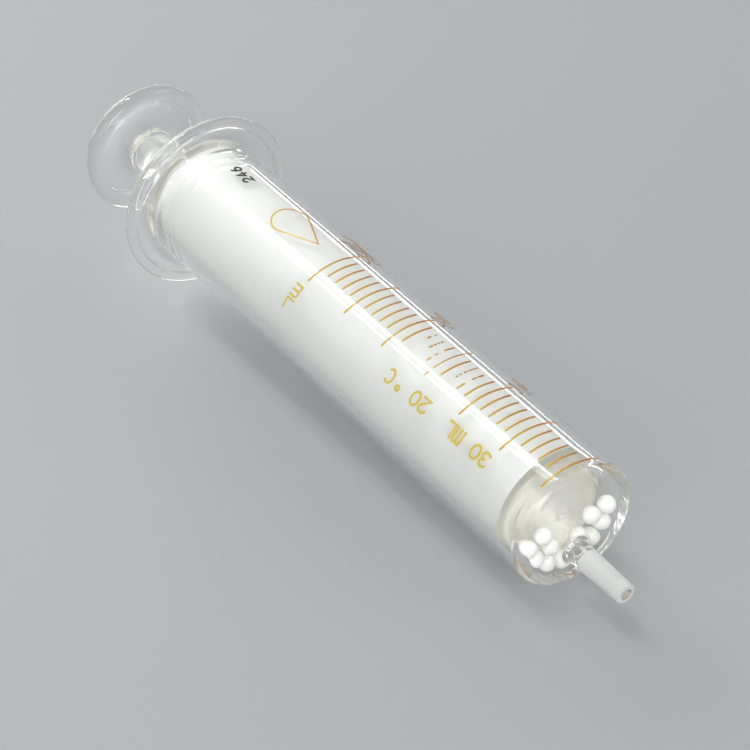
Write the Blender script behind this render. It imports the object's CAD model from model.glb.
import bpy
import bmesh
import math
import random
from mathutils import Euler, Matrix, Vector, noise


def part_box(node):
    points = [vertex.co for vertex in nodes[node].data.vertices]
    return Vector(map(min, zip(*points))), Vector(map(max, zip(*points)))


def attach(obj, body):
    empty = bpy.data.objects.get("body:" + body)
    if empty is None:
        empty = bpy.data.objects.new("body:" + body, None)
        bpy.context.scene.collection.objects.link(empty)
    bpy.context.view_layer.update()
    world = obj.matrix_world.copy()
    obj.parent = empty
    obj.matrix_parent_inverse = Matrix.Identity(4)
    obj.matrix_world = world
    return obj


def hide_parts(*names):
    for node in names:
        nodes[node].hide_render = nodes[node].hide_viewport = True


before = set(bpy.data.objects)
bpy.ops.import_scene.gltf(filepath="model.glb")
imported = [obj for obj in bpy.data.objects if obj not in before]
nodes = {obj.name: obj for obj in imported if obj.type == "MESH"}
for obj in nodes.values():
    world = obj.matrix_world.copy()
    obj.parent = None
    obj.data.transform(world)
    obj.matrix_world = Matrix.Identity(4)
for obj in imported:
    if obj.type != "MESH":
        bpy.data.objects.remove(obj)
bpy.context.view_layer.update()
mm = 0.001


# small helpers

def linear(code):
    # sRGB hex to the linear colour that shaders work in
    parts = [int(code[i:i + 2], 16) / 255 for i in (1, 3, 5)]
    return tuple(c / 12.92 if c <= 0.04045 else ((c + 0.055) / 1.055) ** 2.4 for c in parts) + (1,)


def addNode(tree, kind, settings=None, links=None):
    # settings: {input or property: value}, links: {input: output socket}
    node = tree.nodes.new(kind)
    for key, value in (settings or {}).items():
        if isinstance(key, int) or key in node.inputs:
            node.inputs[key].default_value = value
        else:
            setattr(node, key, value)
    for key, socket in (links or {}).items():
        tree.links.new(socket, node.inputs[key])
    return node


def newMaterial(name):
    material = bpy.data.materials.new(name)
    material.use_nodes = True
    material.node_tree.nodes.clear()
    return material, material.node_tree


def boxMm(node):
    low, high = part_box(node)
    return Vector(low) / mm, Vector(high) / mm


# sizes that every piece is worked out from, in millimetres, read off the frame
tubeHigh = boxMm("barrel_tube")[1]
endHigh = boxMm("barrel_end")[1]
flangeLow, flangeHigh = boxMm("finger_flange")
coneLow, coneHigh = boxMm("nozzle_taper")
plungerLow, plungerHigh = boxMm("plunger_tube")
frontHigh = boxMm("plunger_end")[1]
knobLow, knobHigh = boxMm("thumb_knob")
barrelR = tubeHigh.z
plungerR = plungerHigh.z
lappedGap = 0.03
lappedSkin = 0.1
boreR = plungerR + lappedGap
tiny = 1e-6
ripple = {"alongMm": 28, "roundMm": 9}


def arc(x, r, size, start, stop, steps=8, drop=0):
    # points on a circle in the (x, radius) plane, angles from +x towards growing radius
    points = []
    for i in range(steps + 1):
        a = math.radians(start + (stop - start) * i / steps)
        points.append((x + size * math.cos(a), r + size * math.sin(a), drop))
    return points


def run(x0, r0, x1, r1, steps, drop=0):
    # evenly spaced points between two, without the ends
    return [(x0 + (x1 - x0) * i / steps, r0 + (r1 - r0) * i / steps, drop) for i in range(1, steps)]


def turned(bm, outline, segments, loop, seed, waveAt, slotOf):
    # rings about X through the outline's points; each ring's centre can sit below the axis
    rings = []
    for x, r, drop in outline:
        if r < tiny:
            rings.append([bm.verts.new((x * mm, 0, -drop * mm))])
            continue
        ring = []
        for i in range(segments):
            a = 2 * math.pi * i / segments
            spot = Vector((x / ripple["alongMm"], math.cos(a) * r / ripple["roundMm"],
                           math.sin(a) * r / ripple["roundMm"] + seed))
            rr = r + waveAt(x, r) * noise.noise(spot)
            ring.append(bm.verts.new((x * mm, rr * math.sin(a) * mm,
                                      (rr * math.cos(a) - drop) * mm)))
        rings.append(ring)
    pairs = list(zip(range(len(rings) - 1), range(1, len(rings))))
    if loop:
        pairs.append((len(rings) - 1, 0))
    for p, q in pairs:
        first, second = rings[p], rings[q]
        for i in range(segments):
            j = (i + 1) % segments
            if len(first) == 1:
                corners = [first[0], second[j], second[i]]
            elif len(second) == 1:
                corners = [first[i], first[j], second[0]]
            else:
                corners = [first[i], first[j], second[j], second[i]]
            face = bm.faces.new(corners)
            face.smooth = True
            face.material_index = slotOf(outline[p], outline[q])


def makePiece(name, bm, materials, body, replaced):
    bmesh.ops.recalc_face_normals(bm, faces=bm.faces)
    mesh = bpy.data.meshes.new(name)
    bm.to_mesh(mesh)
    bm.free()
    piece = bpy.data.objects.new(name, mesh)
    bpy.context.scene.collection.objects.link(piece)
    for material in materials:
        mesh.materials.append(material)
    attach(piece, body)
    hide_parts(*replaced)


# materials

glassLook = {
    "ior": 1.474,
    "tint": "#FEFEFD",
    "waveMm": 14,
    "waveDepth": 0.03,
    "waveHeight": 0.0006,
    "absorbs": "#EFECDC",
    "barrelDensity": 2.6,
    "plungerDensity": 0.7,
    "hazeRoughness": 0.3,
    "shadowFace": "#FCFCFB",
    "shadowEdge": "#E0E0DE",
    "edgeBlend": 0.35,
}


def borosilicateGlass(name, roughness, density):
    # flame-worked tube: clear, faintly wavy, with a trace of warm tint where light runs along it
    look = glassLook
    material, tree = newMaterial(name)
    place = addNode(tree, "ShaderNodeTexCoord")
    wave = addNode(tree, "ShaderNodeTexNoise", {"Scale": 1000 / look["waveMm"], "Detail": 1.0},
                   {"Vector": place.outputs["Object"]})
    bump = addNode(tree, "ShaderNodeBump", {
        "Strength": look["waveDepth"], "Distance": look["waveHeight"]},
        {"Height": wave.outputs["Fac"]})
    glass = addNode(tree, "ShaderNodeBsdfPrincipled", {
        "Base Color": linear(look["tint"]), "Roughness": roughness, "IOR": look["ior"],
        "Transmission Weight": 1.0}, {"Normal": bump.outputs["Normal"]})
    # a shadow ray goes straight through, dimmed where it meets the wall edge on
    edge = addNode(tree, "ShaderNodeLayerWeight", {"Blend": look["edgeBlend"]})
    shade = addNode(tree, "ShaderNodeMix", {"data_type": "RGBA"},
                    {"Factor": edge.outputs["Facing"]})
    shade.inputs[6].default_value = linear(look["shadowFace"])
    shade.inputs[7].default_value = linear(look["shadowEdge"])
    passing = addNode(tree, "ShaderNodeBsdfTransparent", None, {"Color": shade.outputs[2]})
    path = addNode(tree, "ShaderNodeLightPath")
    both = addNode(tree, "ShaderNodeMixShader", None, {0: path.outputs["Is Shadow Ray"]})
    tree.links.new(glass.outputs[0], both.inputs[1])
    tree.links.new(passing.outputs[0], both.inputs[2])
    absorb = addNode(tree, "ShaderNodeVolumeAbsorption", {
        "Color": linear(look["absorbs"]), "Density": density})
    addNode(tree, "ShaderNodeOutputMaterial", None, {
        "Surface": both.outputs[0], "Volume": absorb.outputs[0]})
    return material


groundLook = {
    "colour": "#F1F2F1",
    "shade": "#E8E9E8",
    "ior": 1.474,
    "roughness": 0.55,
    "through": 0.3,
    "passes": "#B9BBBB",
    "gritMm": 0.25,  # coarse enough to show close up
    "gritDepth": 0.25,
    "gritHeight": 0.00005,
    "streakMm": 2.2,
    "streakStretch": (1, 0.08, 0.08),
}


def groundGlass():
    # lapped with fine grit: matt white-grey that scatters light, with faint rings from the lapping
    look = groundLook
    material, tree = newMaterial("lappedGlass")
    place = addNode(tree, "ShaderNodeTexCoord")
    stretch = addNode(tree, "ShaderNodeMapping", {"Scale": look["streakStretch"]},
                      {"Vector": place.outputs["Object"]})
    streak = addNode(tree, "ShaderNodeTexNoise", {"Scale": 1000 / look["streakMm"], "Detail": 3.0},
                     {"Vector": stretch.outputs["Vector"]})
    grit = addNode(tree, "ShaderNodeTexNoise", {"Scale": 1000 / look["gritMm"], "Detail": 2.0},
                   {"Vector": place.outputs["Object"]})
    colour = addNode(tree, "ShaderNodeMix", {"data_type": "RGBA"},
                     {"Factor": streak.outputs["Fac"]})
    colour.inputs[6].default_value = linear(look["shade"])
    colour.inputs[7].default_value = linear(look["colour"])
    bump = addNode(tree, "ShaderNodeBump", {
        "Strength": look["gritDepth"], "Distance": look["gritHeight"]},
        {"Height": grit.outputs["Fac"]})
    ground = addNode(tree, "ShaderNodeBsdfPrincipled", {
        "Roughness": look["roughness"], "IOR": look["ior"], "Transmission Weight": look["through"]},
        {"Base Color": colour.outputs[2], "Normal": bump.outputs["Normal"]})
    passing = addNode(tree, "ShaderNodeBsdfTransparent", {"Color": linear(look["passes"])})
    path = addNode(tree, "ShaderNodeLightPath")
    both = addNode(tree, "ShaderNodeMixShader", None, {
        0: path.outputs["Is Shadow Ray"], 1: ground.outputs[0], 2: passing.outputs[0]})
    addNode(tree, "ShaderNodeOutputMaterial", None, {"Surface": both.outputs[0]})
    return material


stainLook = {
    "ior": 1.5,
    "patchMm": 1.2,
    "patchShare": 0.35,
    "deepY": 0.003,
    "thinY": -0.004,
    "roughness": 0.25,
    "markRoughness": 0.35,
    "brown": ("#A8642A", "#CDAA40"),
    "amber": ("#C88F30", "#DCC458"),
    "black": ("#1E1C1A", "#3A3733"),
}


def firedStain(name, tones, roughness):
    # silver stain fired into the glass: glossy as the glass, deep on one side of the scale and
    # thinner towards the other, where less of it was left by the squeegee
    look = stainLook
    material, tree = newMaterial(name)
    place = addNode(tree, "ShaderNodeTexCoord")
    patchy = addNode(tree, "ShaderNodeTexNoise", {"Scale": 1000 / look["patchMm"], "Detail": 3.0},
                     {"Vector": place.outputs["Object"]})
    split = addNode(tree, "ShaderNodeSeparateXYZ", None, {"Vector": place.outputs["Object"]})
    side = addNode(tree, "ShaderNodeMapRange", {
        "From Min": look["deepY"], "From Max": look["thinY"]},
        {"Value": split.outputs["Y"]})
    thin = addNode(tree, "ShaderNodeMath", {"operation": "MULTIPLY_ADD", 1: look["patchShare"]},
                   {0: patchy.outputs["Fac"], 2: side.outputs["Result"]})
    colour = addNode(tree, "ShaderNodeMix", {"data_type": "RGBA"},
                     {"Factor": thin.outputs["Value"]})
    colour.inputs[6].default_value = linear(tones[0])
    colour.inputs[7].default_value = linear(tones[1])
    stain = addNode(tree, "ShaderNodeBsdfPrincipled", {"Roughness": roughness, "IOR": look["ior"]},
                    {"Base Color": colour.outputs[2]})
    addNode(tree, "ShaderNodeOutputMaterial", None, {"Surface": stain.outputs[0]})
    return material


beadLook = {
    "white": "#FAFAF8",
    "palest": "#FFFFFE",
    "mottleMm": 1.5,
    "roughness": 0.35,
    "ior": 1.52,
    "glow": 0.15,
    "glowDepth": 0.0006,
    "skinDepth": 0.1,
    "skinHeight": 0.00005,
}


def beadCeramic():
    # tumbled ceramic: white, satin, with a soft glow just under the surface
    look = beadLook
    material, tree = newMaterial("tumbledCeramic")
    place = addNode(tree, "ShaderNodeTexCoord")
    mottle = addNode(tree, "ShaderNodeTexNoise", {"Scale": 1000 / look["mottleMm"], "Detail": 3.0},
                     {"Vector": place.outputs["Object"]})
    colour = addNode(tree, "ShaderNodeMix", {"data_type": "RGBA"},
                     {"Factor": mottle.outputs["Fac"]})
    colour.inputs[6].default_value = linear(look["white"])
    colour.inputs[7].default_value = linear(look["palest"])
    bump = addNode(tree, "ShaderNodeBump", {
        "Strength": look["skinDepth"], "Distance": look["skinHeight"]},
        {"Height": mottle.outputs["Fac"]})
    bead = addNode(tree, "ShaderNodeBsdfPrincipled", {
        "Roughness": look["roughness"], "IOR": look["ior"],
        "Subsurface Weight": look["glow"], "Subsurface Scale": look["glowDepth"]},
        {"Base Color": colour.outputs[2], "Normal": bump.outputs["Normal"]})
    addNode(tree, "ShaderNodeOutputMaterial", None, {"Surface": bead.outputs[0]})
    return material


barrelClear = borosilicateGlass("flameWorkedGlass", 0.0, glassLook["barrelDensity"])
plungerClear = borosilicateGlass("blownPlungerGlass", 0.0, glassLook["plungerDensity"])
# dulled inside, so reflections blur
hazedGlass = borosilicateGlass("hazedInnerWall", glassLook["hazeRoughness"],
                               glassLook["plungerDensity"])
mattGlass = groundGlass()
brownStain = firedStain("brownSilverStain", stainLook["brown"], stainLook["roughness"])
amberStain = firedStain("amberSilverStain", stainLook["amber"], stainLook["roughness"])
blackStain = firedStain("blackFiredMark", stainLook["black"], stainLook["markRoughness"])
whiteCeramic = beadCeramic()
print("materials made")


# glass barrel

barrel = {
    "segments": 192,
    "wave": 0.024,
    "trueSkin": 0.5,
    "seed": 3.7,
    "rimR": 1.3,
    "webT": 1.8,
    "flareR": 3.5,
    "mouthR": 1.6,
    "endCornerR": 1.95,
    "boreCornerR": 0.8,
    "floorT": 2.0,
    "neckFlareR": 1.3,
    "boreHoleR": 0.9,
    "holeEdgeR": 0.3,
    "holeFlareR": 0.8,
    "coneSlope": 0.03,
    "mattStep": 0.4,
    "tipRoundR": 0.55,
    "drop": 5.4,
}


def barrelOutline(b):
    flangeR = flangeHigh.z
    rimX = flangeLow.x + b["rimR"]
    backX = rimX - b["webT"] / 2
    frontX = rimX + b["webT"] / 2
    rimCentre = flangeR - b["rimR"]
    meet = math.degrees(math.asin(b["webT"] / 2 / b["rimR"]))
    outX = endHigh.x
    inX = outX - b["floorT"]
    coneR = coneHigh.y
    tipX = coneHigh.x
    tipR = coneR - b["coneSlope"] * (tipX - coneLow.x)
    drop = b["drop"]
    holeR, edgeR, flareR = b["boreHoleR"], b["holeEdgeR"], b["holeFlareR"]
    points = []
    # mouth of the bore, back face of the flange, rim, front face, flare
    points += arc(backX + b["mouthR"], boreR + b["mouthR"], b["mouthR"], 270, 180, 6)
    points += run(backX, boreR + b["mouthR"], backX, rimCentre - b["webT"] / 2, 4)
    points += arc(rimX, rimCentre, b["rimR"], 270 - meet, 90, 10)
    points += arc(rimX, rimCentre, b["rimR"], 90, meet - 90, 10)[1:]
    points += arc(frontX + b["flareR"], barrelR + b["flareR"], b["flareR"], 180, 270, 10)
    # outside of the tube, end corner, flat end, neck flare
    points += run(frontX + b["flareR"], barrelR, outX - b["endCornerR"], barrelR, 24)
    points += arc(outX - b["endCornerR"], barrelR - b["endCornerR"], b["endCornerR"], 90, 0, 10)
    points += arc(outX + b["neckFlareR"], coneR + b["neckFlareR"], b["neckFlareR"],
                  180, 270, 8, drop)
    # ground cone, rounded tip, hole back to the inner face
    points += run(outX + b["neckFlareR"], coneR, coneLow.x, coneR, 2, drop)
    points += [(coneLow.x, coneR, drop)]
    points += run(coneLow.x, coneR, tipX - b["tipRoundR"], tipR, 6, drop)
    points += arc(tipX - b["tipRoundR"], tipR - b["tipRoundR"], b["tipRoundR"], 88, 0, 6, drop)
    points += arc(tipX - edgeR, holeR + edgeR, edgeR, 0, -90, 3, drop)
    points += run(tipX - edgeR, holeR, inX + flareR, holeR, 8, drop)
    points += arc(inX + flareR, holeR + flareR, flareR, 270, 180, 6, drop)
    # inner face, bore corner, bore
    points += arc(inX - b["boreCornerR"], boreR - b["boreCornerR"], b["boreCornerR"], 0, 90, 6)
    points += run(inX - b["boreCornerR"], boreR, backX + b["mouthR"], boreR, 24)
    return points


def makeBarrel():
    b = barrel
    outline = barrelOutline(b)

    def slotOf(p, q):
        onCone = (p[0] + q[0]) / 2 > coneLow.x
        return 1 if onCone and max(p[1], q[1]) > b["boreHoleR"] + b["mattStep"] else 0

    def waveAt(x, r):
        # the bore is lapped true, so only the outside keeps the ripple of the flame
        return b["wave"] if r > boreR + b["trueSkin"] else 0

    bm = bmesh.new()
    turned(bm, outline, b["segments"], True, b["seed"], waveAt, slotOf)
    makePiece("barrelGlass", bm, [barrelClear, mattGlass], "barrel",
              ["barrel_tube", "barrel_end", "finger_flange", "nozzle_neck", "nozzle_taper"])


makeBarrel()
print("barrel made")


# glass plunger

plunger = {
    "segments": 192,
    "wave": 0.05,
    "seed": 8.1,
    "wall": 1.5,
    "frontRoundR": 2.2,
    "pipTall": 0.7,
    "shoulderR": 5.0,
    "shoulderFilletR": 1.2,
    "neckR": 4.75,
    "neckBoreR": 2.6,
    "neckFilletR": 3.0,
    "rimR": 2.0,
    "rimFrom": -40,
    "rimTo": 220,
    "webT": 2.4,
    "dish": 0.5,
    "dishShare": 0.8,
    "pipR": 0.9,
    "pipShape": [(0, 0.15), (0.22, 0.2), (0.42, 0.7), (0.6, 1.0),
                 (0.8, 0.85), (0.93, 0.35), (1.0, 0)],
    "ringIn": 0.5,
    "ringW": 0.36,
    "cavityFilletR": 1.2,
    "cavityNeckIn": 1.4,
    "cavityEndIn": 0.8,
    "cavityTipIn": 0.3,
}


def plungerOutline(p):
    frontX = plungerHigh.x
    backX = plungerLow.x
    faceX = frontHigh.x - p["pipTall"]
    edgeR = plungerR - p["frontRoundR"]
    neckX = backX - p["shoulderR"]
    filletR = p["shoulderFilletR"]
    rimX = (knobLow.x + knobHigh.x) / 2
    rimCentre = knobHigh.z - p["rimR"]
    webFront = rimX + p["webT"] / 2
    webBack = rimX - p["webT"] / 2
    points = []
    # sealing pip: the nib left where the glass was drawn off, with a dimple in its middle
    for share, height in p["pipShape"]:
        points.append((faceX + p["pipTall"] * height, p["pipR"] * share, 0))
    # flat face, with a fine half-round groove just inside its edge
    ringR = edgeR - p["ringIn"]
    points += run(faceX, p["pipR"], faceX, ringR - p["ringW"] / 2, 6)
    points += arc(faceX, ringR, p["ringW"] / 2, 270, 90, 6)
    points += arc(frontX, edgeR, p["frontRoundR"], 0, 90, 12)
    points += run(frontX, plungerR, backX, plungerR, 24)
    # shoulder, neck, knob
    points += arc(backX, plungerR - p["shoulderR"], p["shoulderR"], 90, 180, 10)
    points += arc(neckX - filletR, p["neckR"] + filletR, filletR, 0, -90, 5)
    points += run(neckX - filletR, p["neckR"], webFront + p["neckFilletR"], p["neckR"], 4)
    points += arc(webFront + p["neckFilletR"], p["neckR"] + p["neckFilletR"], p["neckFilletR"],
                  270, 180, 8)
    points += arc(rimX, rimCentre, p["rimR"], p["rimFrom"], 90, 10)
    points += arc(rimX, rimCentre, p["rimR"], 90, p["rimTo"], 10)[1:]
    points += [(webBack + p["dish"] * (1 - (i / 6) ** 2), rimCentre * p["dishShare"] * i / 6, 0)
               for i in range(6, 0, -1)]
    points.append((webBack + p["dish"], 0, 0))
    return points


def cavityOutline(p):
    frontX = plungerHigh.x
    backX = plungerLow.x
    innerR = plungerR - p["wall"]
    edgeR = plungerR - p["frontRoundR"]
    cornerR = p["frontRoundR"] - p["wall"]
    faceX = frontX + cornerR
    neckX = backX - p["shoulderR"]
    endX = (knobLow.x + knobHigh.x) / 2 + p["webT"] / 2 + p["cavityEndIn"]
    backCornerR = p["shoulderR"] - p["wall"]
    filletR = p["cavityFilletR"]
    tipX = endX + p["cavityTipIn"]
    points = [(faceX, 0, 0)]
    points += run(faceX, 0, faceX, edgeR, 6)
    points += arc(frontX, edgeR, cornerR, 0, 90, 8)
    points += run(frontX, innerR, backX, innerR, 24)
    points += arc(backX, innerR - backCornerR, backCornerR, 90, 170, 8)
    points += arc(neckX + p["wall"] - p["cavityNeckIn"], p["neckBoreR"] + filletR, filletR,
                  0, -90, 4)
    points += run(neckX, p["neckBoreR"], endX, p["neckBoreR"], 4)
    points += arc(tipX, 0, p["neckBoreR"], 90, 178, 6)
    points.append((tipX - p["neckBoreR"], 0, 0))
    return points


def makePlunger():
    p = plunger

    def slotOf(a, b):
        middle = (a[0] + b[0]) / 2
        onTube = plungerLow.x < middle < plungerHigh.x
        return 1 if onTube and min(a[1], b[1]) > plungerR - lappedSkin else 0

    def waveAt(x, r):
        # the ground tube is lapped true, so only the neck and the knob keep a ripple
        return p["wave"] if x < plungerLow.x - p["shoulderR"] else 0

    bm = bmesh.new()
    turned(bm, plungerOutline(p), p["segments"], False, p["seed"], waveAt, slotOf)
    turned(bm, cavityOutline(p), p["segments"], False, 0, lambda x, r: 0, lambda a, b: 2)
    makePiece("plungerGlass", bm, [plungerClear, mattGlass, hazedGlass], "plunger",
              ["plunger_tube", "plunger_end", "plunger_shoulder", "plunger_neck", "thumb_knob"])


makePlunger()
print("plunger made")


# fired marks

marks = {
    "pen": 0.46,
    "stand": 0.04,
    "sink": 0.01,
    "mlStep": 2.5,
    "last": 30,
    "longEvery": 5,
    "shortHalf": 14.3,
    "longHalf": 28.8,
    "lineSteps": 24,
    "worn": {12: 0.25, 13: 0.3, 15: 0.15, 16: 0.25, 17: 0.5, 18: 0.55},
    "wornFrom": 0.2,
    "wornMore": 1.2,
    "wornLess": 0.7,
    "wornPen": (0.6, 0.95),
    "wornSeed": 40,
    "mitreLimit": 0.5,
    "endShares": (0.45, 0.85),
    "numeralAt": 47,
    "numeralSide": 2.7,
    "numeralBack": 3.8,
    "unitBack": 8.8,
    "amberUnitOn": 7.1,
    "amberUnitAt": 36.5,
    "capacityX": -12.7,
    "capacityAt": 37,
    "dropX": -91.9,
    "dropAt": -2.5,
    "dropR": 3.9,
    "dropFrom": 67,
    "dropTo": 293,
    "dropTipX": -81.9,
    "dropPen": 0.4,
    "pairX": -107.8,
    "pairAt": -10,
}

lettering = {
    "numeral": {"width": 2.0, "height": 3.6, "pen": 0.42, "gap": 0.8},
    "unit": {"width": 2.4, "height": 3.9, "pen": 0.5, "gap": 0.9},
    "amberUnit": {"width": 2.5, "height": 2.0, "pen": 0.45, "gap": 0.8},
    "capacity": {"width": 2.05, "height": 2.8, "pen": 0.52, "gap": 0.65},
    "pair": {"width": 1.45, "height": 2.05, "pen": 0.48, "gap": 0.75},
}


def curve(cx, cy, rx, ry, start, stop, steps=14):
    # part of an ellipse in a letter's unit box
    return [(cx + rx * math.cos(math.radians(start + (stop - start) * i / steps)),
             cy + ry * math.sin(math.radians(start + (stop - start) * i / steps)))
            for i in range(steps + 1)]


letters = {
    "0": [curve(0.5, 0.5, 0.5, 0.5, 0, 360, 28)],
    "1": [[(0.2, 0.78), (0.58, 1), (0.58, 0)]],
    "2": [curve(0.5, 0.72, 0.48, 0.28, 165, -25) + [(0, 0), (1, 0)]],
    "3": [curve(0.48, 0.76, 0.44, 0.24, 150, -90), curve(0.48, 0.26, 0.5, 0.26, 90, -150)],
    "4": [[(1, 0.3), (0, 0.3), (0.68, 1), (0.68, 0)]],
    "6": [curve(0.5, 0.3, 0.48, 0.3, 0, 360, 22), [(0.04, 0.36), (0.22, 0.72), (0.66, 1)]],
    "m": [[(0, 0), (0, 1)], curve(0.25, 0.72, 0.25, 0.28, 180, 0, 8) + [(0.5, 0)],
          curve(0.75, 0.72, 0.25, 0.28, 180, 0, 8) + [(1, 0)]],
    "L": [[(0, 1), (0, 0), (0.9, 0)]],
    "C": [curve(0.55, 0.5, 0.5, 0.5, 50, 310)],
    "°": [curve(0.35, 0.82, 0.22, 0.18, 0, 360, 14)],
    " ": [],
}


def onBarrel(x, s, r):
    # x along the bore and s round it, from the top towards -Y
    a = s / barrelR
    return Vector((x * mm, -r * math.sin(a) * mm, r * math.cos(a) * mm))


def ribbon(bm, path, pen, closed=False):
    # a thin raised stroke that follows a path of (x, s) points on the barrel
    m = marks
    half = pen / 2
    top, low = barrelR + m["stand"], barrelR - m["sink"]
    points = [Vector(p) for p in path]
    if closed:
        points = points[:-1]
    count = len(points)
    sides = []
    for i, p in enumerate(points):
        before = points[i - 1] if closed or i else p
        after = points[(i + 1) % count] if closed or i < count - 1 else p
        into = (p - before).normalized() if (p - before).length > 0 else (after - p).normalized()
        out = (after - p).normalized() if (after - p).length > 0 else into
        along = (into + out).normalized()
        across = Vector((-along.y, along.x))
        widen = 1 / max(m["mitreLimit"], across.dot(Vector((-into.y, into.x))))
        sides.append((p + across * half * widen, p - across * half * widen))
    if not closed:
        # half-round ends
        first, last = points[0], points[-1]
        start = (points[0] - points[1]).normalized()
        finish = (points[-1] - points[-2]).normalized()
        for share in m["endShares"]:
            reach = half * math.sin(share * math.pi / 2)
            width = half * math.cos(share * math.pi / 2)
            a = Vector((-start.y, start.x)) * width
            sides.insert(0, (first + start * reach - a, first + start * reach + a))
            b = Vector((-finish.y, finish.x)) * width
            sides.append((last + finish * reach + b, last + finish * reach - b))
    rows = [[bm.verts.new(onBarrel(q.x, q.y, r)) for q, r in
             ((left, top), (right, top), (right, low), (left, low))] for left, right in sides]
    joins = list(zip(rows, rows[1:]))
    if closed:
        joins.append((rows[-1], rows[0]))
    for one, two in joins:
        for i in range(4):
            j = (i + 1) % 4
            bm.faces.new((one[i], two[i], two[j], one[j]))
    if not closed:
        bm.faces.new(rows[0])
        bm.faces.new(list(reversed(rows[-1])))


def scaleLine(bm, ml, halfAngle):
    m = marks
    x = -ml * m["mlStep"]
    reach = math.radians(halfAngle) * barrelR
    steps = m["lineSteps"]
    rng = random.Random(m["wornSeed"] + ml)
    spots = [-reach + 2 * reach * i / steps for i in range(steps + 1)]
    loss = m["worn"].get(ml, 0)
    piece = []
    for s in spots:
        # a worn line has kept least of its stain on the side away from the figures
        rate = m["wornMore"] if s > -reach * m["wornFrom"] else m["wornLess"]
        if loss > 0 and rng.random() < loss * rate:
            if len(piece) > 1:
                ribbon(bm, piece, m["pen"] * rng.uniform(*m["wornPen"]))
            piece = []
        else:
            piece.append((x, s))
    if len(piece) > 1:
        ribbon(bm, piece, m["pen"])


def word(bm, text, corner, rightWay, upWay, width, height, pen, gap):
    # letters laid from a corner along rightWay, standing along upWay, both in (x, s)
    for i, letter in enumerate(text):
        base = Vector(corner) + Vector(rightWay) * i * (width + gap)
        for strokePath in letters[letter]:
            flat = [base + Vector(rightWay) * u * width + Vector(upWay) * v * height
                    for u, v in strokePath]
            loop = (flat[0] - flat[-1]).length < tiny
            ribbon(bm, flat, pen, loop)


def sOf(degrees):
    # distance round the barrel from the top, towards -Y
    return math.radians(degrees) * barrelR


def makeMarks():
    m = marks
    across = ((0, 1), (1, 0))
    along = ((-1, 0), (0, 1))
    figureS = sOf(-m["numeralAt"]) - m["numeralSide"]
    bm = bmesh.new()
    for ml in range(1, m["last"]):
        if ml % m["longEvery"]:
            scaleLine(bm, ml, m["shortHalf"])
    makePiece("shortScaleLines", bm, [brownStain], "barrel", ["scale_short_lines"])
    bm = bmesh.new()
    for ml in range(0, m["last"] + 1, m["longEvery"]):
        scaleLine(bm, ml, m["longHalf"])
    makePiece("longScaleLines", bm, [brownStain], "barrel", ["scale_long_lines"])
    bm = bmesh.new()
    for tens in range(1, m["last"] // 10 + 1):
        x = -tens * 10 * m["mlStep"] - m["numeralBack"]
        word(bm, str(tens * 10), (x, figureS), *across, **lettering["numeral"])
    unitX = -m["last"] * m["mlStep"] - m["unitBack"]
    word(bm, "mL", (unitX, figureS), *across, **lettering["unit"])
    makePiece("scaleFigures", bm, [brownStain], "barrel", ["scale_numerals"])
    bm = bmesh.new()
    word(bm, "mL", (unitX + m["amberUnitOn"], sOf(m["amberUnitAt"])), *across,
         **lettering["amberUnit"])
    makePiece("unitMark", bm, [amberStain], "barrel", ["unit_mark"])
    bm = bmesh.new()
    word(bm, "30 mL  20 °C", (m["capacityX"], sOf(m["capacityAt"])), *along,
         **lettering["capacity"])
    makePiece("capacityMark", bm, [amberStain], "barrel", ["capacity_mark"])
    bm = bmesh.new()
    dropS = sOf(m["dropAt"])
    drop = curve(m["dropX"], dropS, m["dropR"], m["dropR"], m["dropFrom"], m["dropTo"], 36)
    drop.append((m["dropTipX"], dropS))
    ribbon(bm, drop + [drop[0]], m["dropPen"], True)
    makePiece("dropMark", bm, [amberStain], "barrel", ["drop_mark"])
    bm = bmesh.new()
    word(bm, "246", (m["pairX"], sOf(m["pairAt"])), *along, **lettering["pair"])
    makePiece("pairNumber", bm, [blackStain], "barrel", ["pair_number"])


makeMarks()
print("marks made")


# loose beads

beads = {"outOfRound": 0.03, "level": 4, "lumps": 1.1, "apart": 7.3, "lift": 0.5}


def makeBeads():
    names = sorted(n for n in nodes if n.startswith("bead_"))
    for index, name in enumerate(names):
        low, high = boxMm(name)
        centre, r = (low + high) / 2, (high.x - low.x) / 2
        bm = bmesh.new()
        bmesh.ops.create_icosphere(bm, subdivisions=beads["level"], radius=1)
        for vert in bm.verts:
            bump = noise.noise(vert.co * beads["lumps"] + Vector((index * beads["apart"], 0, 0)))
            size = r - beads["outOfRound"] * (beads["lift"] + bump)
            vert.co = (centre + vert.co * size) * mm
        for face in bm.faces:
            face.smooth = True
        makePiece("whiteBead" + name[-2:], bm, [whiteCeramic], "beads", [name])


makeBeads()
print("beads made")


# floor, lights, camera

studio = {
    "floorColour": "#B0B3B6",
    "floorShade": "#ABAEB1",
    "floorRoughness": 0.55,
    "floorSize": 6.0,
    "cloudScale": 3.0,
    "rimBack": 2.2,  # from the middle of the flange's box back to its rim
    "world": "#E6E8EA",
    "worldPower": 0.52,
    "bounces": 96,
}


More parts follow.
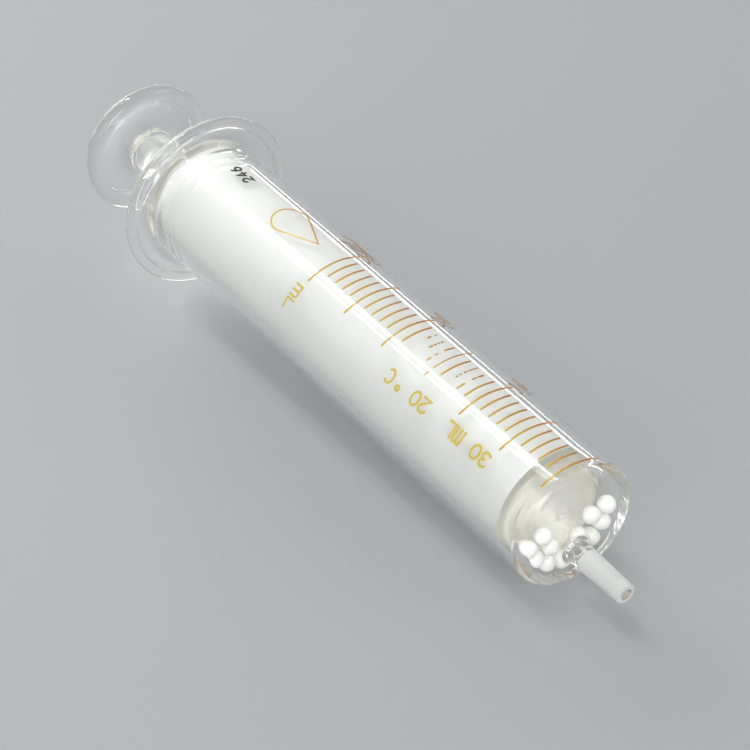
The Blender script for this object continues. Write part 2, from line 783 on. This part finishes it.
def makeFloor():
    # the syringe rests on its flange rim and on the end of the barrel, so the floor leans with it
    rimX, rimZ = (flangeLow.x + flangeHigh.x) / 2 - studio["rimBack"], -flangeHigh.z
    endX = endHigh.x - barrel["endCornerR"]
    lean = math.atan2(-barrelR - rimZ, endX - rimX)
    size = studio["floorSize"]
    bm = bmesh.new()
    bmesh.ops.create_grid(bm, x_segments=2, y_segments=2, size=size / 2)
    mesh = bpy.data.meshes.new("paleFloor")
    bm.to_mesh(mesh)
    bm.free()
    floor = bpy.data.objects.new("paleFloor", mesh)
    bpy.context.scene.collection.objects.link(floor)
    floor.rotation_euler = Euler((0, -lean, 0))
    floor.location = Vector((endX * mm, 0, -barrelR * mm))
    material, tree = newMaterial("paintedBoard")
    place = addNode(tree, "ShaderNodeTexCoord")
    cloud = addNode(tree, "ShaderNodeTexNoise", {"Scale": studio["cloudScale"], "Detail": 2.0},
                    {"Vector": place.outputs["Object"]})
    colour = addNode(tree, "ShaderNodeMix", {"data_type": "RGBA"}, {"Factor": cloud.outputs["Fac"]})
    colour.inputs[6].default_value = linear(studio["floorShade"])
    colour.inputs[7].default_value = linear(studio["floorColour"])
    board = addNode(tree, "ShaderNodeBsdfPrincipled", {"Roughness": studio["floorRoughness"]},
                    {"Base Color": colour.outputs[2]})
    addNode(tree, "ShaderNodeOutputMaterial", None, {"Surface": board.outputs[0]})
    mesh.materials.append(material)


# name, place, aim, width, length, power, colour, in metres and watts
lamps = [
    # two strips, as from a pair of tubes in one fitting, so the barrel carries a double line
    ("keyStrip", (-0.87, 0.0, 1.06), (-0.06, 0, 0), 0.06, 1.5, 4.8, "#FFFFFF"),
    ("thinStrip", (-0.87, -0.18, 1.06), (-0.06, 0, 0), 0.025, 1.5, 1.7, "#FFFFFF"),
    ("sideFill", (0.45, -1.3, 0.7), (-0.06, 0, 0), 1.2, 0.8, 4.4, "#F7FAFF"),
    ("backFill", (0.7, 1.3, 0.9), (-0.06, 0, 0), 0.9, 0.6, 3, "#FFFDF8"),
    ("frontFill", (1.15, -0.55, 0.75), (0, 0, 0), 0.7, 0.7, 7.5, "#FFFFFF"),
    # behind the knob, so that the thick rims of the flange and the knob gather its light
    ("knobLight", (-2.0, 0.3, 0.6), (-0.12, 0, 0), 1.5, 0.85, 11, "#FFFEFB"),
    ("rimLight", (-1.5, 1.75, 0.17), (-0.1, 0, 0), 1.9, 0.13, 3.5, "#FFFEF6"),
]


def softbox(name, place, aim, width, length, power, colour):
    light = bpy.data.lights.new(name, "AREA")
    light.shape = "RECTANGLE"
    light.size = width
    light.size_y = length
    light.energy = power
    light.color = linear(colour)[:3]
    lamp = bpy.data.objects.new(name, light)
    bpy.context.scene.collection.objects.link(lamp)
    lamp.location = place
    lamp.rotation_euler = (Vector(aim) - Vector(place)).to_track_quat("-Z", "Y").to_euler()


def makeLights():
    world = bpy.data.worlds.new("studioWorld")
    world.use_nodes = True
    world.node_tree.nodes["Background"].inputs["Color"].default_value = linear(studio["world"])
    world.node_tree.nodes["Background"].inputs["Strength"].default_value = studio["worldPower"]
    bpy.context.scene.world = world
    for lamp in lamps:
        softbox(*lamp)
    # plain tone, so that white glass and white beads stay white
    bpy.context.scene.view_settings.view_transform = "Standard"
    # light runs a long way inside a thick glass wall before it comes out
    cycles = bpy.context.scene.cycles
    cycles.max_bounces = studio["bounces"]
    cycles.transmission_bounces = studio["bounces"]
    cycles.glossy_bounces = studio["bounces"]
    cycles.transparent_max_bounces = studio["bounces"]


view = {
    "lens": 139.2,
    "sensor": 36,
    "aim": (-55.2, -4.6, 0),
    "distance": 568.1,
    "azimuth": 55.23,
    "elevation": 39.7,
    "roll": -0.76,
    "clipStart": 0.01,
}


def makeCamera():
    lens = bpy.data.cameras.new("camera")
    lens.lens = view["lens"]
    lens.sensor_width = view["sensor"]
    camera = bpy.data.objects.new("camera", lens)
    bpy.context.scene.collection.objects.link(camera)
    aim = Vector(view["aim"]) * mm
    azimuth, elevation = math.radians(view["azimuth"]), math.radians(view["elevation"])
    roll = math.radians(view["roll"])
    away = Vector((math.sin(azimuth) * math.cos(elevation),
                   -math.cos(azimuth) * math.cos(elevation), math.sin(elevation)))
    camera.location = aim + away * view["distance"] * mm
    turn = (-away).to_track_quat("-Z", "Y").to_matrix().to_4x4()
    camera.rotation_euler = (turn @ Euler((0, 0, roll)).to_matrix().to_4x4()).to_euler()
    lens.clip_start = view["clipStart"]
    bpy.context.scene.camera = camera


makeFloor()
makeLights()
makeCamera()
print("floor, lights and camera made")
